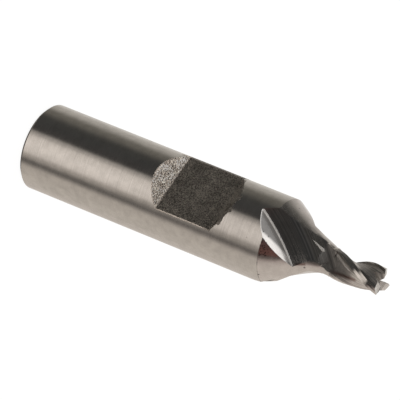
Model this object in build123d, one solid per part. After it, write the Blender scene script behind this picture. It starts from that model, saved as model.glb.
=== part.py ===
from build123d import *
from math import atan2, cos, degrees, pi, radians, sin, tan
import os

# Three-flute end mill ground from one bar: plain shank with a driving flat, a tapered neck, a short fluted end.
# Millimetres. The origin is the centre of the shank's rear face, +Z runs along the axis to the cutting end.
# The driving flat faces -Y, and one tooth's corner lies on +X at the cutting end.

# Shank
shank_diameter = 10.0
shank_length = 31.7
rear_chamfer = 0.35

# Driving flat, with its two end walls sloping out at 45 degrees
flat_start = 18.2
flat_length = 7.0
size_over_flat = 8.3
flat_wall_angle = 45.0

# Neck: a steep cone off the shank, then a slow taper down to the cutter, with a ground radius between
steep_angle = 30.2
slow_angle = 19.1
waist_diameter = 4.89
waist_radius = 2.9

# Cutting end
overall_length = 44.8
cutter_diameter = 3.4
tooth_count = 3
helix_angle = 30.0
core_diameter = 1.9
rake_angle = 10.0
core_heading = 42.0       # where the flute lies nearest the axis, counted from its cutting edge
land_stock = 0.02         # what the relief takes off outside the cutting diameter

# Relief behind each cutting edge
first_relief_angle = 14.0
first_relief_width = 0.34
second_relief_angle = 27.0
second_relief_width = 0.8  # reaches past the heel, into the flute behind
relief_fade_start = -0.9   # both counted from the start of the full cutting diameter
relief_fade_end = 2.2     # the relief fades in over a cone that meets the core here
relief_fade_angle = 24.0
relief_cover = 0.6        # thickness of the stock outside the two flats
relief_skim = 0.08        # how far that stock reaches in front of the edge

# Grinding wheel at the flute's run-out, set by the imprint that it leaves in the shank and the neck. Its headings are
# counted from the flute's own heading at the same height.
wheel_radius = 11.83      # at the corner between its side and its face
wheel_corner_radius = 0.13
wheel_tilt = 44.6         # between the wheel's axis and the tool's axis
wheel_heading = 88.8
wheel_centre_rise = 1.52  # above the shank's end
wheel_stand_off = 2.47    # from the tool's axis to the wheel's corner
wheel_centre_heading = 176.9
wheel_side_bevel = 15.8
wheel_face_bevel = 15.3
wheel_face_width = 2.45
wheel_shoulder_bevel = 52.0
wheel_shoulder_width = 1.25
wheel_hollow_radius = 2.4
wheel_crown_radius = 0.8
wheel_width = 4.7

# Slope on which the full-depth fluting pass starts, hidden in the wheel's imprint
pass_end_rise = 6.9       # above the shank's end
pass_end_tilt = 24.0
pass_end_heading = 106.7   # from the flute's heading at that height
pass_lead_in = 4.3        # how far below that height the pass is drawn

# End teeth, none of which reaches the centre
dish_angle = 3.0
end_relief_angle = 14.0
gash_angle = 58.0
gash_depth = 0.5
gash_tilt = 38.0
gash_lead = 0.1           # how far each end tooth's face lies ahead of the centre
gash_overrun = 1.0
gash_height = 1.5
gash_reach = 2.5
flank_height = 2.0
flank_lap = 0.05          # how far the end relief reaches in front of the centre line
centre_relief_diameter = 0.8
centre_relief_depth = 0.5
centre_relief_tip = 0.1

clearance = 1.0           # how far cuts reach outside the stock
overrun = 0.5             # how far cuts reach past the cutting end

shank_radius = shank_diameter / 2
cutter_radius = cutter_diameter / 2
core_radius = core_diameter / 2
waist_height = shank_length + (shank_radius - waist_diameter / 2) / tan(radians(steep_angle))
stock_radius = cutter_radius + land_stock
cutter_start = waist_height + (waist_diameter / 2 - stock_radius) / tan(radians(slow_angle))
lead = pi * cutter_diameter / tan(radians(helix_angle))
tooth_pitch = 360 / tooth_count
clear_radius = shank_radius + clearance
relief_start = cutter_start + relief_fade_start
wheel_centre_height = shank_length + wheel_centre_rise
wheel_centre_offset = wheel_radius + wheel_stand_off
pass_end_height = shank_length + pass_end_rise


def flute_heading(height):
    """Heading of the first flute's cutting edge at a height."""
    return (height - overall_length) / lead * 360


def direction(tilt, heading):
    """Unit vector that leans tilt degrees from the axis, towards heading."""
    t = radians(tilt)
    h = radians(heading)
    return Vector(sin(t) * cos(h), sin(t) * sin(h), cos(t))


def turned_body():
    """Shank, neck and cutter blank, turned as one."""
    outline = Polyline(
        (0, 0),
        (shank_radius - rear_chamfer, 0),
        (shank_radius, rear_chamfer),
        (shank_radius, shank_length),
        (waist_diameter / 2, waist_height),
        (stock_radius, cutter_start),
        (stock_radius, overall_length),
        (0, overall_length),
        close=True,
    )
    section = make_face(outline)
    waist = section.vertices().sort_by_distance((waist_diameter / 2, waist_height, 0))[0]
    section = fillet(waist, waist_radius)
    return revolve(Plane.XZ * section, Axis.Z)


def driving_flat():
    """The recess of the flat, wider at the surface than at its floor."""
    floor = size_over_flat - shank_radius
    rise = clear_radius - floor
    run = rise / tan(radians(flat_wall_angle))
    outline = Polyline(
        (-floor, flat_start),
        (-floor, flat_start + flat_length),
        (-clear_radius, flat_start + flat_length + run),
        (-clear_radius, flat_start - run),
        close=True,
    )
    return extrude(Plane.YZ * make_face(outline), clear_radius, both=True)


def twisted(section, bottom, top):
    """A cross-section drawn at the cutting end, carried along the helix from bottom to top."""
    height = top - bottom
    start = Pos(0, 0, bottom) * Rot(0, 0, flute_heading(bottom)) * section
    turn = height / lead * 360
    return Part(
        Solid.extrude_linear_with_rotation(
            start.face(), (0, 0, bottom), (0, 0, height), turn
        ).wrapped
    )


def flute_section():
    """Across the axis: a hooked rake face, an arc tangent to it, and the straight back of the next tooth."""
    rake = radians(rake_angle)
    foot = radians(core_heading)
    across = Vector(cos(foot), sin(foot))
    along = Vector(-sin(foot), cos(foot))
    hook = (cutter_radius * cos(foot) - core_radius) / (1 + sin(rake) * cos(foot) - cos(rake) * sin(foot))
    edge = Vector(cutter_radius, 0)
    centre = edge + Vector(-sin(rake), cos(rake)) * hook
    meet = centre - across * hook
    start_angle = degrees(rake) - 90
    end_angle = core_heading - 180
    middle = radians((start_angle + end_angle) / 2)
    halfway = centre + Vector(cos(middle), sin(middle)) * hook
    outside = waist_diameter / 2 + clearance
    lead_in = edge + Vector(cos(rake), sin(rake)) * (outside - cutter_radius)
    reach = (outside**2 - core_radius**2) ** 0.5
    back = across * core_radius + along * reach
    bow = Vector(outside, 0).rotate(Axis.Z, degrees(atan2(back.Y, back.X)) / 2)
    lines = [
        Line(lead_in, edge),
        ThreePointArc(edge, halfway, meet),
        Line(meet, back),
        ThreePointArc(back, bow, lead_in),
    ]
    return make_face(lines)


def pass_end():
    """Everything on the shank's side of the slope where the full-depth pass starts."""
    heading = flute_heading(pass_end_height) + pass_end_heading
    wall = Plane(origin=(0, 0, pass_end_height), z_dir=direction(pass_end_tilt, heading))
    size = 2 * shank_diameter
    return wall * Pos(0, 0, -size / 2) * Box(size, size, size)


def flute():
    """One helical flute, from that slope out through the cutting end."""
    return twisted(flute_section(), pass_end_height - pass_lead_in, overall_length + overrun) - pass_end()


def relief_section():
    """Two flats behind a cutting edge, the second steeper than the first."""
    first = radians(first_relief_angle)
    second = radians(second_relief_angle)
    edge = Vector(cutter_radius, 0)
    step = edge + Vector(-sin(first), -cos(first)) * first_relief_width
    heel = step + Vector(-sin(second), -cos(second)) * second_relief_width
    before = edge + Vector(sin(first), cos(first)) * relief_skim
    outside = Vector(stock_radius + relief_cover / 2, 0)
    return make_face(Polyline(before, step, heel, heel + (relief_cover, 0), outside, before, close=True))


def relief():
    """The ground relief behind one cutting edge, which fades out towards the neck."""
    height = relief_fade_end - relief_fade_start
    widest = core_radius + height * tan(radians(relief_fade_angle))
    fade = Cone(widest, core_radius, height, align=(Align.CENTER, Align.CENTER, Align.MIN))
    return twisted(relief_section(), relief_start, overall_length + overrun) - Pos(0, 0, relief_start) * fade


def run_out():
    """The imprint of the grinding wheel: its bevelled side and its wide face."""
    heading = flute_heading(wheel_centre_height)
    centre_heading = radians(heading + wheel_centre_heading)
    centre = Vector(
        wheel_centre_offset * cos(centre_heading),
        wheel_centre_offset * sin(centre_heading),
        wheel_centre_height,
    )
    hub = wheel_radius / 2
    face_end = wheel_radius + wheel_face_width * tan(radians(wheel_face_bevel))
    crown = face_end + wheel_shoulder_width * tan(radians(wheel_shoulder_bevel))
    outline = Polyline(
        (hub, -(wheel_radius - hub) * tan(radians(wheel_side_bevel))),
        (wheel_radius, 0),
        (face_end, wheel_face_width),
        (crown, wheel_face_width + wheel_shoulder_width),
        (crown, wheel_width),
        (hub, wheel_width),
        close=True,
    )
    profile = make_face(outline)
    for corner, radius in (
        ((wheel_radius, 0, 0), wheel_corner_radius),
        ((face_end, wheel_face_width, 0), wheel_hollow_radius),
        ((crown, wheel_face_width + wheel_shoulder_width, 0), wheel_crown_radius),
    ):
        profile = fillet(profile.vertices().sort_by_distance(corner)[0], radius)
    spindle = Plane(origin=centre, z_dir=direction(wheel_tilt, heading + wheel_heading))
    return spindle * revolve(Plane.XZ * profile, Axis.Z)


def end_flank():
    """Stock above one end tooth, which slopes in to the centre and falls away behind its edge."""
    slope = Rot(0, -dish_angle, 0) * Rot(end_relief_angle, 0, 0)
    reach = cutter_radius + clearance
    stock = Pos(reach / 2 - flank_lap, -reach / 2, flank_height / 2) * Box(reach + 2 * flank_lap, reach, flank_height)
    corner = Pos(cutter_radius, 0, overall_length)
    return corner * slope * Pos(-cutter_radius, 0, 0) * stock


def gash():
    """The notch in front of one end tooth, which runs past the centre."""
    half = (gash_depth + gash_height) * tan(radians(gash_angle))
    outline = Polyline((0, -gash_depth), (0, gash_height), (half, gash_height), close=True)
    wedge = Pos(-gash_overrun, 0, 0) * extrude(Plane.YZ * make_face(outline), cutter_radius + gash_reach)
    return Pos(0, gash_lead, overall_length) * Rot(0, gash_tilt, 0) * wedge


def centre_relief():
    """The hollow at the centre, where no end tooth cuts."""
    hollow = Cone(
        centre_relief_tip / 2, centre_relief_diameter, 2 * centre_relief_depth,
        align=(Align.CENTER, Align.CENTER, Align.MIN),
    )
    return Pos(0, 0, overall_length - centre_relief_depth) * hollow


def around(cut):
    """The same cut at every tooth."""
    return [Rot(0, 0, tooth_pitch * n) * cut for n in range(tooth_count)]


end_mill = turned_body() - driving_flat()
for cut in (run_out(), flute(), relief(), end_flank(), gash()):
    for copy in around(cut):
        end_mill -= copy
end_mill -= centre_relief()

os.makedirs("parts", exist_ok=True)
export_step(end_mill, "parts/end_mill.step")
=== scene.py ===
from math import cos, degrees, pi, radians, sin, tan

import bpy
import numpy as np
from bpy.props import FloatProperty, IntProperty, PointerProperty, StringProperty
from mathutils import Matrix, Vector


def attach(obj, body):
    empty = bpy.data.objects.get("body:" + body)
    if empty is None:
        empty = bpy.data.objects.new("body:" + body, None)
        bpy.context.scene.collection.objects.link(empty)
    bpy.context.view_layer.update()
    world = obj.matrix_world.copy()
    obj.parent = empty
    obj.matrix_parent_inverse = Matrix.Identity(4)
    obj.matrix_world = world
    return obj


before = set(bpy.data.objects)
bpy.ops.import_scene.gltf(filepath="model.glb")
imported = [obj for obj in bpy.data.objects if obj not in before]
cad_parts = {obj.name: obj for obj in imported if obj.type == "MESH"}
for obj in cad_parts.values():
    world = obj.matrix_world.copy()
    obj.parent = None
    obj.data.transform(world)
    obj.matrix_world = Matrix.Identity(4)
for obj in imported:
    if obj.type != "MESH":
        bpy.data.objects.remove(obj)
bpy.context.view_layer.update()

bl_info = {
    "name": "Ground end mill",
    "version": (1, 0, 0),
    "blender": (4, 5, 0),
    "location": "3D View > Sidebar > End mill",
    "description": "Finishes for a ground end mill with a driving flat, and the studio it is seen in",
    "category": "Object",
}

MM = 0.001

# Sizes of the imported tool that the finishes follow, in millimetres and degrees
SHANK_RADIUS = 5.0
SHANK_END = 31.7
STEEP_ANGLE = 30.2
SLOW_ANGLE = 19.1
WAIST_RADIUS = 2.445
BLANK_RADIUS = 1.72         # of the cutting end before its flutes are ground
FLAT_DEPTH = 3.3            # from the axis to the flat's floor
FLAT_START = 18.2
FLAT_END = 25.2
TOOTH_PITCH = 120.0
HELIX_RATE = 19.46          # degrees of twist for each millimetre along the axis

# The grinding wheel as it stood at the first run-out. Its corner is where its side meets its face.
WHEEL_RADIUS = 11.83        # at the corner
WHEEL_TILT = 44.6
WHEEL_HEADING = -136.5
WHEEL_CENTRE_HEIGHT = 33.22
WHEEL_CENTRE_OFFSET = 14.3
WHEEL_CENTRE_HEADING = -48.4
SIDE_NORMAL = (-0.28, -0.65, 0.70)  # of the surface that the wheel's side leaves, along the corner line
SECTOR_START = -125.0       # first heading of the third of a turn that holds this run-out

# Where the ground lines change from arcs about the wheel to the helix, and how many millimetres of line
# spacing a radian of heading counts for there
HELIX_START = (("z", 39.2, 40.2),)
HELIX_SPREAD = 1.3

# Regions of the ground steel, as ramps: what is measured, where the region begins and where it is full, in
# mm. A share such as cut is ramped from 0 to 1, or from 1 to 0 for the rest of the tool. CORNER is the
# line of the wheel's corner, bright from its reflection and a painted highlight, and CORNER_EDGE a strip of
# that painted highlight beside it. The band along it on the wheel's side is painted shade, LAND is the relief
# behind each cutting edge, and the small steps where a flute starts get painted shade where they face the tip.
CORNER = (("corner_gap", 0.15, 0.09), ("cut", 0, 1))
CORNER_EDGE = (("past_corner", -0.19, -0.12), ("on_side", 0, 1), ("cut", 0, 1))
SHADE_BAND = (("in_band", 0, 1), ("on_side", 0, 1), ("cut", 0, 1))
LAND = (("radius", 1.45, 1.6), ("z", 41.2, 41.9), ("z", 43.7, 43.3))
SHADED_STEPS = (("facing", 0.7, 0.85), ("near_start", 0, 1), ("cut", 0, 1))
# painted shade: darkened patches on the cut surfaces at the neck, in a flute and at the centre
SHADED_NECK = (("z", 37.1, 37.4), ("z", 41.7, 40.4))
SHADED_FLUTE = (("radius", 1.35, 1.15), ("x", 0.65, 0.35), ("z", 41.0, 41.4))
SHADED_CENTRE = (("radius", 1.4, 1.2), ("z", 43.3, 43.7))
BROWN_SHADE = (("x", 1.1, 1.35), ("z", 39.2, 39.8))
THIN_SHADE = (("z", 41.0, 41.5),)
# painted highlight along a ridge inside the painted shade
RIDGE_HIGHLIGHT = (("off_ridge", 0.2, 0.06), ("z", 38.4, 38.8), ("z", 41.2, 40.8))
RIM_RING = (("at_rim", 0, 1), ("cut", 1, 0), ("x", 1.0, 4.0))
DUST = (
    ("grit", 0.54, 0.6), ("z", 31.6, 31.75), ("z", 33.3, 32.3),
    ("y", -2.3, -2.8), ("x", 1.6, 2.2), ("cut", 1, 0),
)

# Places that those regions are measured from
CUT_DEPTHS = (0.04, 0.09)   # under the turned outline, between which a surface comes to count as cut
BAND_SLOPE = 0.64           # the band of painted shade narrows towards the tip
BAND_START = -1.93 - 31.3 * BAND_SLOPE
BAND_SOFTNESS = 0.25
LAND_LEAN = (0, 0, -0.13)   # added to the land's normal, because the real land is ground a little hollow
STEPS_HEIGHT = 39.0         # middle and half length of the stretch that holds the small steps
STEPS_REACH = 1.9
RIDGE_LINE = ((-0.55, -1.2, 38.7), (0.55, -0.86, 40.9))
RIM_WIDTH = 0.045           # half width of the thin dark ring where the shank meets the neck

# Tones of those regions, as shares of the bare steel's colour, and their roughness
# painted shade on the steps near a flute's start that face the tip
STEP_SHADE_TONE = 0.42
PAINTED_SHADE_TONES = (0.75, 1.36, 2.0, 1.15)    # of the painted shade: plain, brown, the painted highlight on the ridge, and thin, over the lines' own tone
# painted shade of the band along the corner on the wheel's side
BAND_SHADE_TONE = 0.3
# painted highlight: the fixed bright tone of the corner line and the strip beside it
CORNER_HIGHLIGHT_TONE = 0.95
RIM_DARKENING = 0.6         # share of the steel's colour that the ring takes away
CORNER_ROUGHNESS = 0.25
CORNER_EDGE_ROUGHNESS = 0.2
SHADE_ROUGHNESS = 0.6

# Specks of dirt, by place and radius
SPECKS = (
    (4.94, -0.35, 31.78, 0.13), (4.2, 1.4, 32.9, 0.11), (2.28, -0.81, 36.19, 0.15),
    (-2.99, -3.14, 32.84, 0.12), (1.92, -3.74, 31.94, 0.14), (1.89, -4.33, 31.41, 0.1),
    (3.1, -3.9, 29.9, 0.07), (4.6, 1.9, 30.2, 0.09),
)

# Red-brown lines painted where the ground faces end: start and end of each line, and how far its colour
# reaches
RED_BROWN_LINES = (
    ((1.3, -0.4, 39.0), (0.99, -0.03, 41.6), 0.34),
    ((2.55, -1.25, 35.3), (2.15, -1.2, 36.15), 0.24),
)
RED_BROWN_TINT = (0.4, 0.31, 0.29)

# Rough skin of the flat, in millimetres
SKIN_LEFT = -0.9 * SHANK_RADIUS     # both sides reach past the flat's floor, under the shank's surface
SKIN_RIGHT = 1.03 * (SHANK_RADIUS**2 - FLAT_DEPTH**2) ** 0.5
SKIN_MARGIN = 0.25          # past the rims of the end walls
SKIN_LIFT = 0.04            # of the skin's mean above the floor
SKIN_THICKNESS = 0.25
WALL_RISE = 0.2             # over this length the grain grows from the floor's to the first wall's
WALL_GRAIN = 2.2            # how much coarser it is there
GRAIN_LIMITS = (-1.6, 2.4)  # of the grain's random heights, in standard deviations
LUMP_HEIGHT = 0.035         # of the walls' broad lumps
LUMP_START = 0.3            # above the floor
UNDER_SHANK = 0.03          # the skin dips this far under the shank's surface outside the flat

# Scale that has spilled over the flat's rim
SPILL_THICKNESS = 0.012
SPILL_LENGTHS = (1.1, 0.1)  # before the flat's floor and after it
SPILL_INSIDE = 0.05         # how far inside the rim it starts
SPILL_WIDTH = 1.5
SPILL_RIGHT = -3.6          # it lies beside the flat only on this side of x
SPILL_RAGGED = (0.3, 0.22)  # how much its ragged edge adds, beside the flat and beyond the flat's end

# Burr on the first run-out's face: its point, its root, and a spot beside the root on the same face
BURR_LINE = ((-0.52, -2.27, 35.82), (-0.02, -1.40, 37.36), (-0.47, -1.44, 37.22))
BURR_LEAN = 0.35            # how far its root lies to one side, as a share of its width

# Studio
VIEW_HEADING = -62.8        # of the photographer's side of the tool
AIM = (-0.63, -0.75, 20.79)  # the point, in millimetres, that the camera looks at
FLOOR_REACH = 1.5           # in metres, from the tool's axis
FLOOR_SIDES = 64
FLOOR_GLOW = 1.15           # strength and share of the white that the camera sees over the lit floor
FLOOR_GLOW_SHARE = 0.82


class SteelSettings(bpy.types.PropertyGroup):
    """Finish of the ground steel."""

    colour: StringProperty(name="Colour", description="Bare steel, as an sRGB hex value", default="#dedad6")
    shank_roughness: FloatProperty(
        name="Shank roughness", description="Roughness of the centreless-ground shank",
        default=0.17, min=0, max=1,
    )
    flute_roughness: FloatProperty(
        name="Flute roughness", description="Roughness of the ground flutes",
        default=0.16, min=0, max=1,
    )
    line_spacing: FloatProperty(
        name="Grinding lines", description="Spacing of the wheel's lines, drawn coarse enough to show",
        default=0.16 * MM, unit="LENGTH", precision=6,
    )
    line_depth: FloatProperty(
        name="Line depth", description="Depth of the grinding lines",
        default=0.004 * MM, unit="LENGTH", precision=7,
    )


class FlatSettings(bpy.types.PropertyGroup):
    """Rough skin of the driving flat."""

    floor_colour: StringProperty(
        name="Floor colour", description="Scale on the floor, as an sRGB hex value", default="#96918a",
    )
    wall_colour: StringProperty(
        name="Wall colour", description="Blasted end walls, as an sRGB hex value", default="#f8ebdf",
    )
    grain: FloatProperty(
        name="Grain size", description="Width of one grain of the blasted skin",
        default=0.13 * MM, unit="LENGTH", precision=6,
    )
    grain_height: FloatProperty(
        name="Grain height", description="Height of the grain above the floor",
        default=0.014 * MM, unit="LENGTH", precision=6,
    )
    burr_height: FloatProperty(
        name="Burr height", description="Height of the ragged burr round the flat",
        default=0.07 * MM, unit="LENGTH", precision=6,
    )
    burr_width: FloatProperty(
        name="Burr width", description="Width of the ragged burr round the flat",
        default=0.06 * MM, unit="LENGTH", precision=6,
    )
    columns: IntProperty(name="Columns", description="Grid cells across the flat", default=190, min=20)
    rows: IntProperty(name="Rows", description="Grid cells along the flat", default=250, min=20)


class BurrSettings(bpy.types.PropertyGroup):
    """Torn burr on the ground face."""

    length: FloatProperty(
        name="Length", description="From its point to its root",
        default=1.85 * MM, unit="LENGTH", precision=6,
    )
    width: FloatProperty(
        name="Width", description="At its root",
        default=0.42 * MM, unit="LENGTH", precision=6,
    )
    thickness: FloatProperty(
        name="Thickness", description="At its root",
        default=0.12 * MM, unit="LENGTH", precision=6,
    )


class StudioSettings(bpy.types.PropertyGroup):
    """The camera."""

    camera_distance: FloatProperty(
        name="Distance", description="From the camera to the tool", default=0.465, unit="LENGTH",
    )
    camera_heading: FloatProperty(
        name="Heading", description="Direction of the camera about the tool",
        default=radians(-62.68), unit="ROTATION",
    )
    camera_elevation: FloatProperty(
        name="Elevation", description="Height of the camera above the horizon",
        default=radians(25.96), unit="ROTATION",
    )
    camera_roll: FloatProperty(
        name="Roll", description="Turn of the camera about its own view line",
        default=radians(111.95), unit="ROTATION",
    )
    camera_lens: FloatProperty(
        name="Lens", description="Focal length on a 36 mm sensor, in mm", default=379.6,
    )


def linear(hex_colour, share=1.0):
    """sRGB hex to linear red, green, blue and alpha, with the colour scaled to a share of itself."""
    values = [int(hex_colour[i:i + 2], 16) / 255 for i in (1, 3, 5)]
    values = [v / 12.92 if v <= 0.04045 else ((v + 0.055) / 1.055) ** 2.4 for v in values]
    return (*[share * v for v in values], 1.0)


def add_node(tree, kind, inputs=(), **settings):
    """Adds one node, sets its settings, and gives each named or numbered input a value or a link.

    Mix has its two numbers at inputs 2 and 3, its vectors at 4 and 5 and its colours at 6 and 7.
    """
    node = tree.nodes.new("ShaderNode" + kind)
    for name, value in settings.items():
        setattr(node, name, value)
    for key, value in dict(inputs).items():
        if isinstance(value, bpy.types.NodeSocket):
            tree.links.new(value, node.inputs[key])
        else:
            node.inputs[key].default_value = value
    return node


def new_material(name):
    """An empty node material with its shader and output."""
    material = bpy.data.materials.new(name)
    material.use_nodes = True
    tree = material.node_tree
    tree.nodes.clear()
    shader = add_node(tree, "BsdfPrincipled")
    output = add_node(tree, "OutputMaterial")
    tree.links.new(shader.outputs["BSDF"], output.inputs["Surface"])
    return material, tree, shader


def direction(tilt, heading):
    """Unit vector that leans tilt degrees from the axis, towards heading."""
    t, h = radians(tilt), radians(heading)
    return Vector((sin(t) * cos(h), sin(t) * sin(h), cos(t)))


def measure(tree):
    """Where a point of the surface lies, in millimetres, in the tool's own axes and about its axis."""
    place = add_node(tree, "TexCoord").outputs["Object"]
    point = add_node(tree, "VectorMath", {0: place, "Scale": 1 / MM}, operation="SCALE").outputs[0]
    x, y, z = add_node(tree, "SeparateXYZ", {0: point}).outputs
    across = add_node(tree, "CombineXYZ", {0: x, 1: y}).outputs[0]
    radius = add_node(tree, "VectorMath", {0: across}, operation="LENGTH").outputs["Value"]
    return {"point": point, "x": x, "y": y, "z": z, "radius": radius}


def region(tree, at, ramps):
    """Share of a region: one ramp for each thing measured, all multiplied together."""
    share = 1.0
    for measured, start, full in ramps:
        ramp = add_node(tree, "MapRange", {"Value": at[measured], "From Min": start, "From Max": full})
        share = add_node(tree, "Math", {0: ramp.outputs[0], 1: share}, operation="MULTIPLY").outputs[0]
    return share


def measure_cut(tree, at):
    """Whether a wheel has cut the surface, which then lies nearer the axis than the turned outline.

    The outline's radius at a height is the largest of the steep cone's, the slow cone's and the cutter
    blank's, but no more than the shank's.
    """
    steep, slow = tan(radians(STEEP_ANGLE)), tan(radians(SLOW_ANGLE))
    waist_height = SHANK_END + (SHANK_RADIUS - WAIST_RADIUS) / steep
    turned = BLANK_RADIUS
    for slope, radius, height in ((steep, SHANK_RADIUS, SHANK_END), (slow, WAIST_RADIUS, waist_height)):
        line = {0: at["z"], 1: -slope, 2: radius + height * slope}
        cone = add_node(tree, "Math", line, operation="MULTIPLY_ADD").outputs[0]
        turned = add_node(tree, "Math", {0: cone, 1: turned}, operation="MAXIMUM").outputs[0]
    turned = add_node(tree, "Math", {0: turned, 1: SHANK_RADIUS}, operation="MINIMUM").outputs[0]
    depth = add_node(tree, "Math", {0: turned, 1: at["radius"]}, operation="SUBTRACT").outputs[0]
    ends = {"Value": depth, "From Min": CUT_DEPTHS[0], "From Max": CUT_DEPTHS[1]}
    at["cut"] = add_node(tree, "MapRange", ends, interpolation_type="SMOOTHSTEP").outputs[0]


def fold(tree, at):
    """The same point in the third of a turn that holds the first run-out, and the angle that takes it back.

    The heading is wrapped into that third, and the radius and height stay.
    """
    heading = add_node(tree, "Math", {0: at["y"], 1: at["x"]}, operation="ARCTAN2").outputs[0]
    sector = {0: heading, 1: radians(SECTOR_START + TOOTH_PITCH), 2: radians(SECTOR_START)}
    folded = add_node(tree, "Math", sector, operation="WRAP").outputs[0]
    cosine = add_node(tree, "Math", {0: folded}, operation="COSINE").outputs[0]
    sine = add_node(tree, "Math", {0: folded}, operation="SINE").outputs[0]
    unit = add_node(tree, "CombineXYZ", {0: cosine, 1: sine}).outputs[0]
    across = add_node(tree, "VectorMath", {0: unit, "Scale": at["radius"]}, operation="SCALE").outputs[0]
    height = add_node(tree, "CombineXYZ", {2: at["z"]}).outputs[0]
    at["heading"] = heading
    at["folded"] = add_node(tree, "VectorMath", {0: across, 1: height}).outputs[0]
    at["unfold"] = add_node(tree, "Math", {0: heading, 1: folded}, operation="SUBTRACT").outputs[0]


def measure_wheel(tree, at):
    """Place about the wheel: along its spindle from the corner, out from its spindle, and past the corner.

    A negative place along the spindle is on the wheel's side, and a positive one on its face.
    """
    centre = direction(90, WHEEL_CENTRE_HEADING) * WHEEL_CENTRE_OFFSET + Vector((0, 0, WHEEL_CENTRE_HEIGHT))
    spindle = direction(WHEEL_TILT, WHEEL_HEADING)
    point = add_node(tree, "VectorMath", {0: at["folded"], 1: centre}, operation="SUBTRACT").outputs[0]
    along = add_node(tree, "VectorMath", {0: point, 1: spindle}, operation="DOT_PRODUCT").outputs["Value"]
    on_spindle = add_node(tree, "VectorMath", {0: spindle, "Scale": along}, operation="SCALE").outputs[0]
    out = add_node(tree, "VectorMath", {0: point, 1: on_spindle}, operation="DISTANCE").outputs["Value"]
    past_corner = add_node(tree, "Math", {0: out, 1: WHEEL_RADIUS}, operation="SUBTRACT").outputs[0]
    gap = add_node(tree, "CombineXYZ", {0: along, 1: past_corner}).outputs[0]
    band_edge = {0: at["z"], 1: BAND_SLOPE, 2: BAND_START}
    band_edge = add_node(tree, "Math", band_edge, operation="MULTIPLY_ADD").outputs[0]
    in_band = add_node(tree, "Math", {0: past_corner, 1: band_edge}, operation="SUBTRACT").outputs[0]
    ends = {"Value": in_band, "From Min": -BAND_SOFTNESS, "From Max": BAND_SOFTNESS}
    at["along"] = along
    at["out"] = out
    at["past_corner"] = past_corner
    at["on_side"] = add_node(tree, "Math", {0: along, 1: 0.0}, operation="LESS_THAN").outputs[0]
    at["corner_gap"] = add_node(tree, "VectorMath", {0: gap}, operation="LENGTH").outputs["Value"]
    at["in_band"] = add_node(tree, "MapRange", ends, interpolation_type="SMOOTHSTEP").outputs[0]


def line_track(tree, at):
    """What stays the same along each grinding line.

    It is the height on the shank, the place along the spindle on the wheel's face, the distance from the
    spindle on its side, and in the flutes the heading less the helix's twist.
    """
    wheel = add_node(tree, "Mix", {"Factor": at["on_side"], 2: at["along"], 3: at["out"]}).outputs[0]
    untwist = {0: at["z"], 1: radians(-HELIX_RATE), 2: at["heading"]}
    twist = add_node(tree, "Math", untwist, operation="MULTIPLY_ADD").outputs[0]
    twist = add_node(tree, "Math", {0: twist, 1: radians(TOOTH_PITCH), 2: 0.0}, operation="WRAP").outputs[0]
    helix = add_node(tree, "Math", {0: twist, 1: HELIX_SPREAD}, operation="MULTIPLY").outputs[0]
    in_flute = region(tree, at, HELIX_START)
    ground = add_node(tree, "Mix", {"Factor": in_flute, 2: wheel, 3: helix}).outputs[0]
    return add_node(tree, "Mix", {"Factor": at["cut"], 2: at["z"], 3: ground}).outputs[0]


def steel_normal(tree, at, lines, line_depth, corner):
    """Bump of the grinding lines, on a normal that leans on the lands and is even at the wheel's corner."""
    land = region(tree, at, LAND)
    lean = add_node(tree, "VectorMath", {0: LAND_LEAN, "Scale": land}, operation="SCALE").outputs[0]
    leaning = add_node(tree, "VectorMath", {0: at["normal"], 1: lean}).outputs[0]
    side = {"Vector": SIDE_NORMAL, "Angle": at["unfold"]}
    side = add_node(tree, "VectorRotate", side, rotation_type="Z_AXIS").outputs[0]
    normals = {"Factor": corner, 4: leaning, 5: side}
    leaning = add_node(tree, "Mix", normals, data_type="VECTOR").outputs[1]
    leaning = add_node(tree, "VectorMath", {0: leaning}, operation="NORMALIZE").outputs[0]
    strength = add_node(tree, "MapRange", {"Value": at["cut"], "To Min": 0.12, "To Max": 0.4}).outputs[0]
    off_corner = add_node(tree, "Math", {0: 1.0, 1: corner}, operation="SUBTRACT").outputs[0]
    strength = add_node(tree, "Math", {0: strength, 1: off_corner}, operation="MULTIPLY").outputs[0]
    bump = {"Strength": strength, "Distance": line_depth, "Height": lines, "Normal": leaning}
    return add_node(tree, "Bump", bump).outputs[0]


def line_tone(tree, at, lines):
    """Tone of the grinding lines: none on the shank, strong on the wheel's face, and faint on its side."""
    ends = {"Value": lines, "From Min": 0.34, "From Max": 0.66, "To Min": 0.62, "To Max": 1.1}
    tone = add_node(tree, "MapRange", ends).outputs[0]
    even = add_node(tree, "Math", {0: at["on_side"], 1: 0.75}, operation="MULTIPLY").outputs[0]
    tone = add_node(tree, "Mix", {"Factor": even, 2: tone, 3: 1.1}).outputs[0]
    tone = add_node(tree, "Mix", {"Factor": at["cut"], 2: 1.0, 3: tone}).outputs[0]
    # painted shade: cut surfaces near the flute's start whose normal faces the tip are darkened
    nearness = {0: at["z"], 1: STEPS_HEIGHT, 2: STEPS_REACH}
    at["near_start"] = add_node(tree, "Math", nearness, operation="COMPARE").outputs[0]
    at["facing"] = add_node(tree, "SeparateXYZ", {0: at["normal"]}).outputs["Z"]
    return add_node(tree, "Mix", {"Factor": region(tree, at, SHADED_STEPS), 2: tone, 3: STEP_SHADE_TONE}).outputs[0]


def painted_shade_share(tree, at):
    """Where painted shade lies on the cut surfaces."""
    painted_shade = region(tree, at, SHADED_NECK)
    for part in (SHADED_FLUTE, SHADED_CENTRE):
        share = region(tree, at, part)
        painted_shade = add_node(tree, "Math", {0: painted_shade, 1: share}, operation="MAXIMUM").outputs[0]
    return add_node(tree, "Math", {0: painted_shade, 1: at["cut"]}, operation="MULTIPLY").outputs[0]


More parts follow.
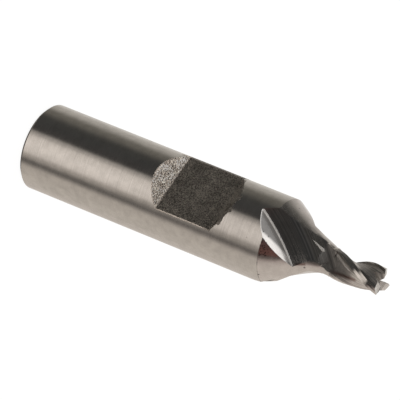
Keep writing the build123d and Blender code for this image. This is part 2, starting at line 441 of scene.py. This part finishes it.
def painted_shade_tone(tree, at, tone):
    """Tone of the painted shade over the lines' own tone, with a painted highlight along a ridge through it.
    """
    start, end = (Vector(p) for p in RIDGE_LINE)
    along = (end - start).normalized()
    gap = add_node(tree, "VectorMath", {0: at["folded"], 1: start}, operation="SUBTRACT").outputs[0]
    gap = add_node(tree, "VectorMath", {0: gap, 1: along}, operation="CROSS_PRODUCT").outputs[0]
    at["off_ridge"] = add_node(tree, "VectorMath", {0: gap}, operation="LENGTH").outputs["Value"]
    painted_shade = PAINTED_SHADE_TONES[0]
    for part, part_tone in zip((BROWN_SHADE, RIDGE_HIGHLIGHT, THIN_SHADE), PAINTED_SHADE_TONES[1:]):
        painted_shade = add_node(tree, "Mix", {"Factor": region(tree, at, part), 2: painted_shade, 3: part_tone}).outputs[0]
    return add_node(tree, "Math", {0: painted_shade, 1: tone}, operation="MULTIPLY").outputs[0]


def dirt_and_ring_share(tree, at):
    """Darkening in patches: a thin dark ring at the shank's end, specks of dirt, and dust on the first
    run-out's near side.
    """
    nearness = {0: at["z"], 1: SHANK_END, 2: RIM_WIDTH}
    at["at_rim"] = add_node(tree, "Math", nearness, operation="COMPARE").outputs[0]
    at["grit"] = add_node(tree, "TexNoise", {"Vector": at["point"], "Scale": 5.0, "Detail": 1.0}).outputs[0]
    # a thin dark ring along the edge where the shank meets the neck
    rim = region(tree, at, RIM_RING)
    dirt_and_ring = add_node(tree, "Math", {0: rim, 1: RIM_DARKENING}, operation="MULTIPLY").outputs[0]
    for *place, radius in SPECKS:
        gap = add_node(tree, "VectorMath", {0: at["point"], 1: place}, operation="DISTANCE").outputs["Value"]
        ends = {"Value": gap, "From Min": radius, "From Max": 0.6 * radius}
        speck = add_node(tree, "MapRange", ends).outputs[0]
        dirt_and_ring = add_node(tree, "Math", {0: dirt_and_ring, 1: speck}, operation="MAXIMUM").outputs[0]
    dust = region(tree, at, DUST)
    dirt_and_ring = add_node(tree, "Math", {0: dirt_and_ring, 1: dust}, operation="MAXIMUM").outputs[0]
    ends = {"Value": at["mottle"], "From Min": 0.4, "From Max": 0.6, "To Min": 0.35, "To Max": 0.85}
    patchy = add_node(tree, "MapRange", ends).outputs[0]
    return add_node(tree, "Math", {0: dirt_and_ring, 1: patchy}, operation="MULTIPLY").outputs[0]


def with_red_brown_lines(tree, at, colour):
    """The colour with each red-brown line over it: full on its line, and fading out at its reach."""
    for start, end, reach in RED_BROWN_LINES:
        start, end = Vector(start), Vector(end)
        along = (end - start).normalized()
        point = add_node(tree, "VectorMath", {0: at["point"], 1: start}, operation="SUBTRACT").outputs[0]
        passed = add_node(tree, "VectorMath", {0: point, 1: along}, operation="DOT_PRODUCT").outputs["Value"]
        passed = add_node(tree, "Clamp", {"Value": passed, "Max": (end - start).length}).outputs[0]
        nearest = add_node(tree, "VectorMath", {0: along, "Scale": passed}, operation="SCALE").outputs[0]
        gap = add_node(tree, "VectorMath", {0: point, 1: nearest}, operation="DISTANCE").outputs["Value"]
        ends = {"Value": gap, "From Min": reach, "From Max": 0.1 * reach}
        share = add_node(tree, "MapRange", ends).outputs[0]
        dark = add_node(tree, "VectorMath", {0: colour, 1: RED_BROWN_TINT}, operation="MULTIPLY").outputs[0]
        colour = add_node(tree, "Mix", {"Factor": share, 4: colour, 5: dark}, data_type="VECTOR").outputs[1]
    return colour


def ground_steel(settings):
    """Hardened high-speed steel, ground all over: bright metal, with fine lines that follow each wheel's path.

    The shank's lines run round it, the run-outs' lines are arcs about the wheel's own axis, and the flutes'
    lines follow the helix. They are drawn several times coarser than the real ones, which are too fine to
    show. The wheel's corner leaves a bright line, partly a painted highlight, and beside that on its side lies
    a band of painted shade. Painted shade on the cut surfaces and on the steps that face the tip, dirt, a thin
    dark ring at the shank's end and red-brown lines darken the rest, and a painted highlight runs along a
    ridge.
    """
    material, tree, shader = new_material("ground_high_speed_steel")
    at = measure(tree)
    at["normal"] = add_node(tree, "NewGeometry").outputs["Normal"]
    at["mottle"] = add_node(tree, "TexNoise", {"Vector": at["point"], "Scale": 1.1, "Detail": 4.0}).outputs[0]
    measure_cut(tree, at)
    fold(tree, at)
    measure_wheel(tree, at)
    pattern = {"Scale": MM / settings.line_spacing, "Detail": 3.0, "Roughness": 0.65}
    pattern["W"] = line_track(tree, at)
    lines = add_node(tree, "TexNoise", pattern, noise_dimensions="1D").outputs[0]
    corner = region(tree, at, CORNER)
    edge = region(tree, at, CORNER_EDGE)
    painted_shade = painted_shade_share(tree, at)

    tone = line_tone(tree, at, lines)
    # painted shade over the cut surfaces, with a painted highlight along a ridge
    tone = add_node(tree, "Mix", {"Factor": painted_shade, 2: tone, 3: painted_shade_tone(tree, at, tone)}).outputs[0]
    # painted shade: the band along the corner on the wheel's side is darkened to a fixed share
    band = region(tree, at, SHADE_BAND)
    band_shade = add_node(tree, "MapRange", {"Value": band, "To Min": 1.0, "To Max": BAND_SHADE_TONE}).outputs[0]
    tone = add_node(tree, "Math", {0: tone, 1: band_shade}, operation="MULTIPLY").outputs[0]
    # painted highlight: the corner line and the strip beside it take a fixed bright tone
    for share in (corner, edge):
        tone = add_node(tree, "Mix", {"Factor": share, 2: tone, 3: CORNER_HIGHLIGHT_TONE}).outputs[0]
    unmarked = add_node(tree, "Math", {0: 1.0, 1: dirt_and_ring_share(tree, at)}, operation="SUBTRACT").outputs[0]
    tone = add_node(tree, "Math", {0: tone, 1: unmarked}, operation="MULTIPLY").outputs[0]
    worn = add_node(tree, "MapRange", {"Value": at["mottle"], "From Min": 0.35, "From Max": 0.7}).outputs[0]
    shades = {"Factor": worn, 6: linear(settings.colour), 7: linear(settings.colour, 0.86)}
    colour = add_node(tree, "Mix", shades, data_type="RGBA").outputs[2]
    colour = add_node(tree, "VectorMath", {0: colour, "Scale": tone}, operation="SCALE").outputs[0]
    # red-brown lines painted where the ground faces end
    colour = with_red_brown_lines(tree, at, colour)

    ends = {"Value": at["cut"], "To Min": settings.shank_roughness, "To Max": settings.flute_roughness}
    rough = add_node(tree, "MapRange", ends).outputs[0]
    ends = {"Value": lines, "From Min": 0.3, "From Max": 0.7, "To Min": 0.85, "To Max": 1.2}
    streak = add_node(tree, "MapRange", ends).outputs[0]
    rough = add_node(tree, "Math", {0: rough, 1: streak}, operation="MULTIPLY").outputs[0]
    for share, value in ((corner, CORNER_ROUGHNESS), (edge, CORNER_EDGE_ROUGHNESS), (painted_shade, SHADE_ROUGHNESS)):
        rough = add_node(tree, "Mix", {"Factor": share, 2: rough, 3: value}).outputs[0]
    shader.inputs["Metallic"].default_value = 1.0
    tree.links.new(colour, shader.inputs["Base Color"])
    tree.links.new(rough, shader.inputs["Roughness"])
    tree.links.new(steel_normal(tree, at, lines, settings.line_depth, corner), shader.inputs["Normal"])
    return material


# Regions of the flat's skin: its first end wall, and what stands proud of the shank on the near side, which
# takes a painted highlight
FIRST_WALL = (("z", FLAT_START + 0.1, FLAT_START - 0.15),)
BURR_HIGHLIGHT = (
    ("radius", SHANK_RADIUS - 0.01, SHANK_RADIUS + 0.01), ("x", -3.0, -2.5),
    ("z", FLAT_END, FLAT_END - 0.6),
)


def speckled(tree, grain, dark_end, bright_end, dark, bright):
    """Two shades of one colour, grain by grain."""
    ends = {"Value": grain, "From Min": dark_end, "From Max": bright_end}
    share = add_node(tree, "MapRange", ends).outputs[0]
    return add_node(tree, "Mix", {"Factor": share, 6: dark, 7: bright}, data_type="RGBA").outputs[2]


def rough_scale(settings):
    """Blasted steel under dull grey scale: matt and speckled, with paler bare grains and painted glints on the
    first end wall.

    The burr on the near rim is bare, with a painted highlight: a bright colour with little metal, so it shows
    bright from all round.
    """
    material, tree, shader = new_material("blasted_scaled_steel")
    at = measure(tree)
    grains = {"Vector": at["point"], "Scale": MM / settings.grain, "Detail": 2.0}
    fine = add_node(tree, "TexNoise", grains).outputs[0]
    broad = add_node(tree, "TexNoise", {"Vector": at["point"], "Scale": 0.7, "Detail": 3.0}).outputs[0]
    ragged = add_node(tree, "TexNoise", {"Vector": at["point"], "Scale": 2.5, "Detail": 3.0}).outputs[0]
    ragged = add_node(tree, "Math", {0: ragged, 1: 0.9, 2: -0.45}, operation="MULTIPLY_ADD").outputs[0]
    wall = region(tree, at, FIRST_WALL)
    wall = add_node(tree, "Math", {0: wall, 1: ragged}, use_clamp=True).outputs[0]
    burr_highlight = region(tree, at, BURR_HIGHLIGHT)

    dark_floor, bright_floor = (linear(settings.floor_colour, share) for share in (0.55, 1.9))
    # the first end wall: paler bare steel, with its brightest grains as painted glints
    dark_wall, bright_wall = (linear(settings.wall_colour, share) for share in (0.42, 1.3))
    scale = speckled(tree, fine, 0.36, 0.66, dark_floor, bright_floor)
    bare_with_glints = speckled(tree, fine, 0.42, 0.58, dark_wall, bright_wall)
    colour = add_node(tree, "Mix", {"Factor": wall, 6: scale, 7: bare_with_glints}, data_type="RGBA").outputs[2]
    # painted highlight: the burr on the near rim takes the wall's brightest colour and little metal
    colour = add_node(tree, "Mix", {"Factor": burr_highlight, 6: colour, 7: bright_wall}, data_type="RGBA").outputs[2]
    ends = {"Value": broad, "From Min": 0.35, "From Max": 0.65, "To Min": 0.8, "To Max": 1.1}
    stain = add_node(tree, "MapRange", ends).outputs[0]
    colour = add_node(tree, "VectorMath", {0: colour, "Scale": stain}, operation="SCALE").outputs[0]
    rough = add_node(tree, "MapRange", {"Value": wall, "To Min": 0.55, "To Max": 0.38}).outputs[0]
    rough = add_node(tree, "Mix", {"Factor": burr_highlight, 2: rough, 3: 0.3}).outputs[0]
    metal = add_node(tree, "MapRange", {"Value": burr_highlight, "To Min": 0.75, "To Max": 0.1}).outputs[0]
    tree.links.new(colour, shader.inputs["Base Color"])
    tree.links.new(rough, shader.inputs["Roughness"])
    tree.links.new(metal, shader.inputs["Metallic"])
    return material


def painted_bright_burr():
    """Torn steel, bare, with a painted highlight: near-white and little metal, and rough enough to catch light
    from all round.
    """
    material, tree, shader = new_material("torn_steel_painted_bright")
    place = add_node(tree, "TexCoord").outputs["Object"]
    grit = add_node(tree, "TexNoise", {"Vector": place, "Scale": 1 / (0.15 * MM), "Detail": 2.0}).outputs[0]
    rough = add_node(tree, "MapRange", {"Value": grit, "To Min": 0.25, "To Max": 0.6}).outputs[0]
    tree.links.new(rough, shader.inputs["Roughness"])
    # painted highlight: near-white colour and little metal, so the burr shows bright from all sides
    shader.inputs["Base Color"].default_value = linear("#f6f4f0")
    shader.inputs["Metallic"].default_value = 0.2
    return material


def new_piece(name, points, faces, material):
    """A smooth mesh object from arrays of points in metres and of faces, riding with the tool."""
    mesh = bpy.data.meshes.new(name)
    mesh.from_pydata(points, [], faces)
    mesh.polygons.foreach_set("use_smooth", np.full(len(mesh.polygons), True))
    mesh.materials.append(material)
    mesh.update()
    piece = bpy.data.objects.new(name, mesh)
    bpy.context.scene.collection.objects.link(piece)
    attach(piece, "root")
    return piece


def grid_faces(rows, columns):
    """Quads of a grid whose points run row by row."""
    first = (np.arange(rows - 1)[:, None] * columns + np.arange(columns - 1)).reshape(-1, 1)
    return np.hstack([first, first + 1, first + columns + 1, first + columns])


def shell_faces(rows, columns):
    """Quads of a closed shell: a grid, a copy behind it that faces back, and a strip round both rims."""
    front = grid_faces(rows, columns)
    count = rows * columns
    ring = np.concatenate([
        np.arange(columns), np.arange(1, rows) * columns + columns - 1,
        (rows - 1) * columns + np.arange(columns - 2, -1, -1), np.arange(rows - 2, 0, -1) * columns,
    ])
    after = np.roll(ring, -1)
    strip = np.stack([ring, ring + count, after + count, after], axis=1)
    return np.vstack([front, front[:, ::-1] + count, strip])


def grain_field(rows, columns, cell, size, seed):
    """Random heights with features about one size wide.

    White noise is filtered to the waves whose count in one size is near a half, by a bell curve.
    """
    noise = np.fft.rfft2(np.random.default_rng(seed).standard_normal((rows, columns)))
    down = np.fft.fftfreq(rows, cell[0])[:, None]
    across = np.fft.rfftfreq(columns, cell[1])[None, :]
    wave = np.hypot(down, across) * size
    field = np.fft.irfft2(noise * np.exp(-((wave - 0.5) / 0.28) ** 2), s=(rows, columns))
    return field / field.std()


class ENDMILL_OT_body(bpy.types.Operator):
    """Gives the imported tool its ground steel."""

    bl_idname = "endmill.body"
    bl_label = "Ground body"

    def execute(self, context):
        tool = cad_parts["end_mill"]
        tool.data.materials.clear()
        tool.data.materials.append(ground_steel(context.scene.endmill_steel))
        return {"FINISHED"}


def spilled(depth, x, z, shank, past_rim, ragged):
    """The skin's depth with scale spilled over the rim.

    Where scale lies, the depth is at least a little more than the shank's own. It lies beside the flat on the
    far side, in a strip that starts just inside the rim, and beyond the flat's far end as far as the ragged
    noise lets it.
    """
    before, after = SPILL_LENGTHS
    ragged_length, ragged_reach = SPILL_RAGGED
    beside = (x < 0) & (z > FLAT_START - before) & (z < FLAT_END + after + ragged_length * ragged)
    beyond = (z > FLAT_END) & (past_rim < ragged_reach * ragged)
    in_strip = beside & (past_rim < SPILL_WIDTH) & (x < SPILL_RIGHT)
    spill = (past_rim > -SPILL_INSIDE) & (in_strip | beyond)
    return np.where(spill, np.maximum(depth, shank + SPILL_THICKNESS), depth)


class ENDMILL_OT_flat_skin(bpy.types.Operator):
    """Adds the coarse skin of the driving flat's floor and end walls.

    The skin is a grid over x and z, and its depth is measured from the axis towards the flat. The recess's
    depth is the floor's, or more by the distance past either end of the floor, because the walls slope at
    45 degrees. The grain's random heights are added to it, and broad lumps on the walls. The skin takes the
    smaller of that depth and the shank's own, which is the root of its radius squared less x squared. A
    burr stands where the two are equal, and its height falls off as a bell curve of their difference.
    """

    bl_idname = "endmill.flat_skin"
    bl_label = "Rough skin of the flat"

    def execute(self, context):
        settings = context.scene.endmill_flat
        rows, columns = settings.rows + 1, settings.columns + 1
        wall_reach = SHANK_RADIUS - FLAT_DEPTH
        low, high = FLAT_START - wall_reach - SKIN_MARGIN, FLAT_END + wall_reach + SKIN_MARGIN
        x = np.linspace(SKIN_LEFT, SKIN_RIGHT, columns)[None, :] * np.ones((rows, 1))
        z = np.linspace(low, high, rows)[:, None] * np.ones((1, columns))
        cell = ((high - low) / settings.rows, (SKIN_RIGHT - SKIN_LEFT) / settings.columns)
        grain = grain_field(rows, columns, cell, settings.grain / MM, 3)
        lump = grain_field(rows, columns, cell, 5 * settings.grain / MM, 4)

        on_wall = np.clip((FLAT_START - z) / WALL_RISE, 0, 1)
        grain = settings.grain_height / MM * (1 + WALL_GRAIN * on_wall) * np.clip(grain, *GRAIN_LIMITS)
        recess = np.maximum(FLAT_DEPTH, FLAT_DEPTH + np.maximum(FLAT_START - z, z - FLAT_END))
        recess = recess + SKIN_LIFT + grain
        shank = np.sqrt(SHANK_RADIUS**2 - x**2)
        ragged = np.clip(lump, 0, 2)
        lump = LUMP_HEIGHT * lump * (recess > FLAT_DEPTH + LUMP_START)
        to_rim = (recess + lump - shank) / settings.burr_width * MM
        burr = settings.burr_height / MM * np.exp(-to_rim**2) * np.clip(1 + 7 * lump, 0.2, 1.6)
        depth = np.minimum(recess + lump, shank - UNDER_SHANK) + burr
        depth = spilled(depth, x, z, shank, recess - shank, ragged)

        skin = np.stack([x, -depth, z], axis=-1).reshape(-1, 3)
        back = skin + (0, SKIN_THICKNESS, 0)
        points = np.vstack([skin, back]) * MM
        faces = shell_faces(rows, columns)
        new_piece("flat_skin", points.tolist(), faces.tolist(), rough_scale(settings))
        return {"FINISHED"}


class ENDMILL_OT_burr(bpy.types.Operator):
    """Adds the torn burr that lies on the ground face of the first run-out.

    It is a tongue of flattened rings, from its point at u = 0 to its root at u = 1. A ring is an ellipse in
    the angle v. Its half width grows as u to the power 0.9, and its half thickness as u to the power 0.6.
    Both close at the root by the square root of 1 less u to the tenth, and waves in u and v make them
    ragged. The middle line leans to one side as it goes.
    """

    bl_idname = "endmill.burr"
    bl_label = "Torn burr"

    def execute(self, context):
        settings = context.scene.endmill_burr
        length, width, thickness = (v / MM for v in (settings.length, settings.width, settings.thickness))
        start, end, beside = (Vector(p) for p in BURR_LINE)
        along = (end - start).normalized()
        out = along.cross(beside - start).normalized()
        out = out if out.dot(Vector((0, -1, 0))) > 0 else -out
        across = out.cross(along)
        start, along, across, out = (np.array(v) for v in (start, along, across, out))

        rings, sides = 24, 16
        u = (np.arange(1, rings) / rings)[:, None]
        v = (np.arange(sides) * 2 * pi / sides)[None, :]
        ragged = 1 + 0.3 * np.sin(9 * u + 2 * np.sin(2 * v)) * u + 0.15 * np.cos(23 * u + 3 * v) * u
        closing = np.sqrt(1 - u**10) * ragged
        spread = width / 2 * u**0.9 * closing * np.cos(v)
        height = thickness / 2 * u**0.6 * closing * np.sin(v)
        middle = start + u[..., None] * (length * along + BURR_LEAN * width * across)
        points = middle + spread[..., None] * across + height[..., None] * out
        root = start + length * along + BURR_LEAN * width * across
        points = np.vstack([start, points.reshape(-1, 3), root]) * MM

        ring = np.arange(sides)
        after = np.roll(ring, -1)
        base = 1 + np.arange(rings - 2)[:, None] * sides
        walls = np.stack([base + ring, base + after, base + sides + after, base + sides + ring], axis=-1)
        tip = np.stack([np.zeros(sides, int), 1 + after, 1 + ring], axis=-1)
        last = 1 + (rings - 2) * sides
        foot = np.stack([np.full(sides, last + sides), last + ring, last + after], axis=-1)
        faces = walls.reshape(-1, 4).tolist() + tip.tolist() + foot.tolist()
        new_piece("burr", points.tolist(), faces, painted_bright_burr())
        return {"FINISHED"}


class ENDMILL_OT_stage(bpy.types.Operator):
    """Adds the floor, the light round the tool and the camera."""

    bl_idname = "endmill.stage"
    bl_label = "Studio"

    def execute(self, context):
        add_floor()
        light_studio(context.scene)
        add_camera(context.scene)
        context.scene.view_settings.view_transform = "Standard"
        return {"FINISHED"}


def add_floor():
    """A white sweep under the tool, a many-sided disc that keeps the tool's shadow.

    The camera sees it nearly white. Mirror rays pass it by, because the steel shows the table and the room.
    """
    turn = np.linspace(0, 2 * pi, FLOOR_SIDES, endpoint=False)
    rim = np.stack([FLOOR_REACH * np.cos(turn), FLOOR_REACH * np.sin(turn), np.zeros(FLOOR_SIDES)], axis=1)
    mesh = bpy.data.meshes.new("floor")
    mesh.from_pydata(rim.tolist(), [], [list(range(FLOOR_SIDES))])
    floor = bpy.data.objects.new("floor", mesh)
    bpy.context.scene.collection.objects.link(floor)
    material, tree, shader = new_material("white_sweep")
    shader.inputs["Base Color"].default_value = linear("#f4f4f4")
    shader.inputs["Roughness"].default_value = 0.9
    shader.inputs["Specular IOR Level"].default_value = 0.0
    glow = add_node(tree, "Emission", {"Color": (1, 1, 1, 1), "Strength": FLOOR_GLOW})
    path = add_node(tree, "LightPath")
    rays = {0: path.outputs["Is Camera Ray"], 1: path.outputs["Is Transmission Ray"]}
    seen = add_node(tree, "Math", rays, operation="MAXIMUM").outputs[0]
    share = add_node(tree, "Math", {0: seen, 1: FLOOR_GLOW_SHARE}, operation="MULTIPLY").outputs[0]
    mix = add_node(tree, "MixShader", {0: share, 1: shader.outputs[0], 2: glow.outputs[0]})
    output = next(n for n in tree.nodes if n.type == "OUTPUT_MATERIAL")
    tree.links.new(mix.outputs[0], output.inputs["Surface"])
    mesh.materials.append(material)
    floor.visible_glossy = False


# Light round the tool, by heading from the photographer's side in degrees, as sRGB hex
TABLE_RING = (
    (-180, "#e7e1dc"), (-150, "#cec6be"), (-110, "#cbc4bb"), (-86, "#c4bdb4"), (-72, "#bfb8af"),
    (-54, "#615e5b"), (-40, "#b4ada5"), (-26, "#f1e9e1"), (-10, "#fef6ee"), (10, "#f0e8e0"), (22, "#b7b1aa"),
    (32, "#42403f"), (56, "#3f3f3e"), (72, "#424240"), (100, "#737069"), (130, "#b7b3ac"), (160, "#d6d2cc"),
    (180, "#e7e3dd"),
)
ROOM_RING = (
    (-180, "#e8e2dc"), (-110, "#d2c9c1"), (-85, "#cfc6be"), (-66, "#c9bfb8"), (-58, "#a99c96"),
    (-51, "#6e6561"), (-44, "#4c4845"), (-34, "#413f3d"), (-21, "#3c3b3a"), (-8, "#3e3d3c"), (5, "#3e3e3e"),
    (30, "#424242"), (60, "#4a4947"), (100, "#403f3d"), (113, "#3e3d3b"), (121, "#62605c"), (127, "#928e89"),
    (133, "#b5b0ab"), (145, "#cac5c0"), (165, "#e2deda"), (180, "#eeebe7"),
)
UNDERSIDE = "#6a6661"
ROOF = "#f2eee8"
ROOM_SLANT = (0.4, 1.0)     # degrees that the room's left and right edges lean for each degree up

# Elevations in degrees between which each layer of light gives way to the next
UNDERSIDE_EDGE = (-33, -39)
ROOM_EDGE = (-24.5, -21)
ROOF_EDGE = (50, 60)

# Cards round the tool: heading, elevation and reach in degrees, sRGB hex and strength
CARDS = (
    (86, 45, 13, "#ffffff", 1), (110, 33, 9, "#ffffff", 1.2),
    (-30, 34, 10, "#5a423f", 1), (-46, 32, 8, "#684842", 1),
)
CARD_SOFTNESS = 0.2         # of each card's reach, inside and outside its edge


def ring_ramp(tree, heading, ring):
    """Colour by heading."""
    turn = add_node(tree, "MapRange", {"Value": heading, "From Min": -pi, "From Max": pi}).outputs[0]
    ramp = add_node(tree, "ValToRGB", {0: turn})
    ramp.color_ramp.interpolation = "EASE"
    while len(ramp.color_ramp.elements) < len(ring):
        ramp.color_ramp.elements.new(0.5)
    for element, (place, colour) in zip(ramp.color_ramp.elements, ring):
        element.position = (place + 180) / 360
        element.color = linear(colour)
    return ramp.outputs[0]


def light_studio(scene):
    """Light by direction: a bright table, a dark room on the photographer's side, a pale roof and cards."""
    world = bpy.data.worlds.new("studio")
    scene.world = world
    world.use_nodes = True
    tree = world.node_tree
    tree.nodes.clear()
    aim = add_node(tree, "TexCoord").outputs["Generated"]
    turn = (0, 0, radians(-VIEW_HEADING))
    turned = add_node(tree, "Mapping", {"Vector": aim, "Rotation": turn}).outputs[0]
    ahead, left, up = add_node(tree, "SeparateXYZ", {0: turned}).outputs
    side = add_node(tree, "Math", {0: left, 1: -1.0}, operation="MULTIPLY").outputs[0]
    heading = add_node(tree, "Math", {0: side, 1: ahead}, operation="ARCTAN2").outputs[0]
    elevation = add_node(tree, "Math", {0: up}, operation="ARCSINE").outputs[0]
    height = add_node(tree, "Math", {0: elevation, 1: 0.0}, operation="MAXIMUM").outputs[0]
    ends = {"From Min": -1.0, "From Max": 1.0, "To Min": ROOM_SLANT[0], "To Max": ROOM_SLANT[1]}
    slant = add_node(tree, "MapRange", {"Value": heading, **ends}).outputs[0]
    leaning = add_node(tree, "Math", {0: height, 1: slant, 2: heading}, operation="MULTIPLY_ADD").outputs[0]

    light = ring_ramp(tree, heading, TABLE_RING)
    room = ring_ramp(tree, leaning, ROOM_RING)
    layers = ((linear(UNDERSIDE), UNDERSIDE_EDGE), (room, ROOM_EDGE), (linear(ROOF), ROOF_EDGE))
    for layer, (start, full) in layers:
        ends = {"Value": elevation, "From Min": radians(start), "From Max": radians(full)}
        share = add_node(tree, "MapRange", ends, interpolation_type="SMOOTHSTEP").outputs[0]
        light = add_node(tree, "Mix", {"Factor": share, 6: light, 7: layer}, data_type="RGBA").outputs[2]
    for card_heading, card_elevation, reach, colour, strength in CARDS:
        middle = direction(90 - card_elevation, VIEW_HEADING - card_heading)
        near = add_node(tree, "VectorMath", {0: aim, 1: middle}, operation="DOT_PRODUCT").outputs["Value"]
        outer, inner = ((1 + CARD_SOFTNESS) * reach, (1 - CARD_SOFTNESS) * reach)
        ends = {"Value": near, "From Min": cos(radians(outer)), "From Max": cos(radians(inner))}
        share = add_node(tree, "MapRange", ends).outputs[0]
        glow = {"Factor": share, 6: light, 7: linear(colour, strength)}
        light = add_node(tree, "Mix", glow, data_type="RGBA").outputs[2]
    seen = add_node(tree, "LightPath").outputs["Is Camera Ray"]
    colour = add_node(tree, "Mix", {"Factor": seen, 6: light, 7: (1, 1, 1, 1)}, data_type="RGBA").outputs[2]
    back = add_node(tree, "Background", {"Color": colour, "Strength": 1.0})
    output = add_node(tree, "OutputWorld")
    tree.links.new(back.outputs[0], output.inputs["Surface"])


def add_camera(scene):
    """The camera of the photograph, aimed at the tool's middle and rolled until the tool lies across."""
    settings = scene.endmill_studio
    back = direction(90 - degrees(settings.camera_elevation), degrees(settings.camera_heading))
    level = Vector((0, 0, 1)).cross(back).normalized()
    rise = back.cross(level)
    roll = settings.camera_roll
    right = level * cos(roll) + rise * sin(roll)
    up = rise * cos(roll) - level * sin(roll)
    lens = bpy.data.cameras.new("camera")
    lens.lens = settings.camera_lens
    lens.clip_start, lens.clip_end = 0.05, 5.0
    camera = bpy.data.objects.new("camera", lens)
    turn = Matrix((right, up, back)).transposed()
    place = Vector(AIM) * MM + back * settings.camera_distance
    camera.matrix_world = Matrix.Translation(place) @ turn.to_4x4()
    scene.collection.objects.link(camera)
    scene.camera = camera


class ENDMILL_PT_panel(bpy.types.Panel):
    """Lists the pieces of the end mill."""

    bl_label = "End mill"
    bl_idname = "ENDMILL_PT_panel"
    bl_space_type = "VIEW_3D"
    bl_region_type = "UI"
    bl_category = "End mill"

    def draw(self, context):
        for operator in OPERATORS:
            self.layout.operator(operator.bl_idname)
        for name in GROUPS:
            group = getattr(context.scene, name)
            for field in type(group).__annotations__:
                self.layout.prop(group, field)


OPERATORS = (ENDMILL_OT_body, ENDMILL_OT_flat_skin, ENDMILL_OT_burr, ENDMILL_OT_stage)
GROUPS = {
    "endmill_steel": SteelSettings, "endmill_flat": FlatSettings, "endmill_burr": BurrSettings,
    "endmill_studio": StudioSettings,
}


def register():
    for cls in (*GROUPS.values(), *OPERATORS, ENDMILL_PT_panel):
        bpy.utils.register_class(cls)
    for name, group in GROUPS.items():
        setattr(bpy.types.Scene, name, PointerProperty(type=group))


def unregister():
    for name in GROUPS:
        delattr(bpy.types.Scene, name)
    for cls in reversed((*GROUPS.values(), *OPERATORS, ENDMILL_PT_panel)):
        bpy.utils.unregister_class(cls)


def main():
    register()
    bpy.ops.endmill.body()
    bpy.ops.endmill.flat_skin()
    bpy.ops.endmill.burr()
    bpy.ops.endmill.stage()


if __name__ == "__main__":
    main()
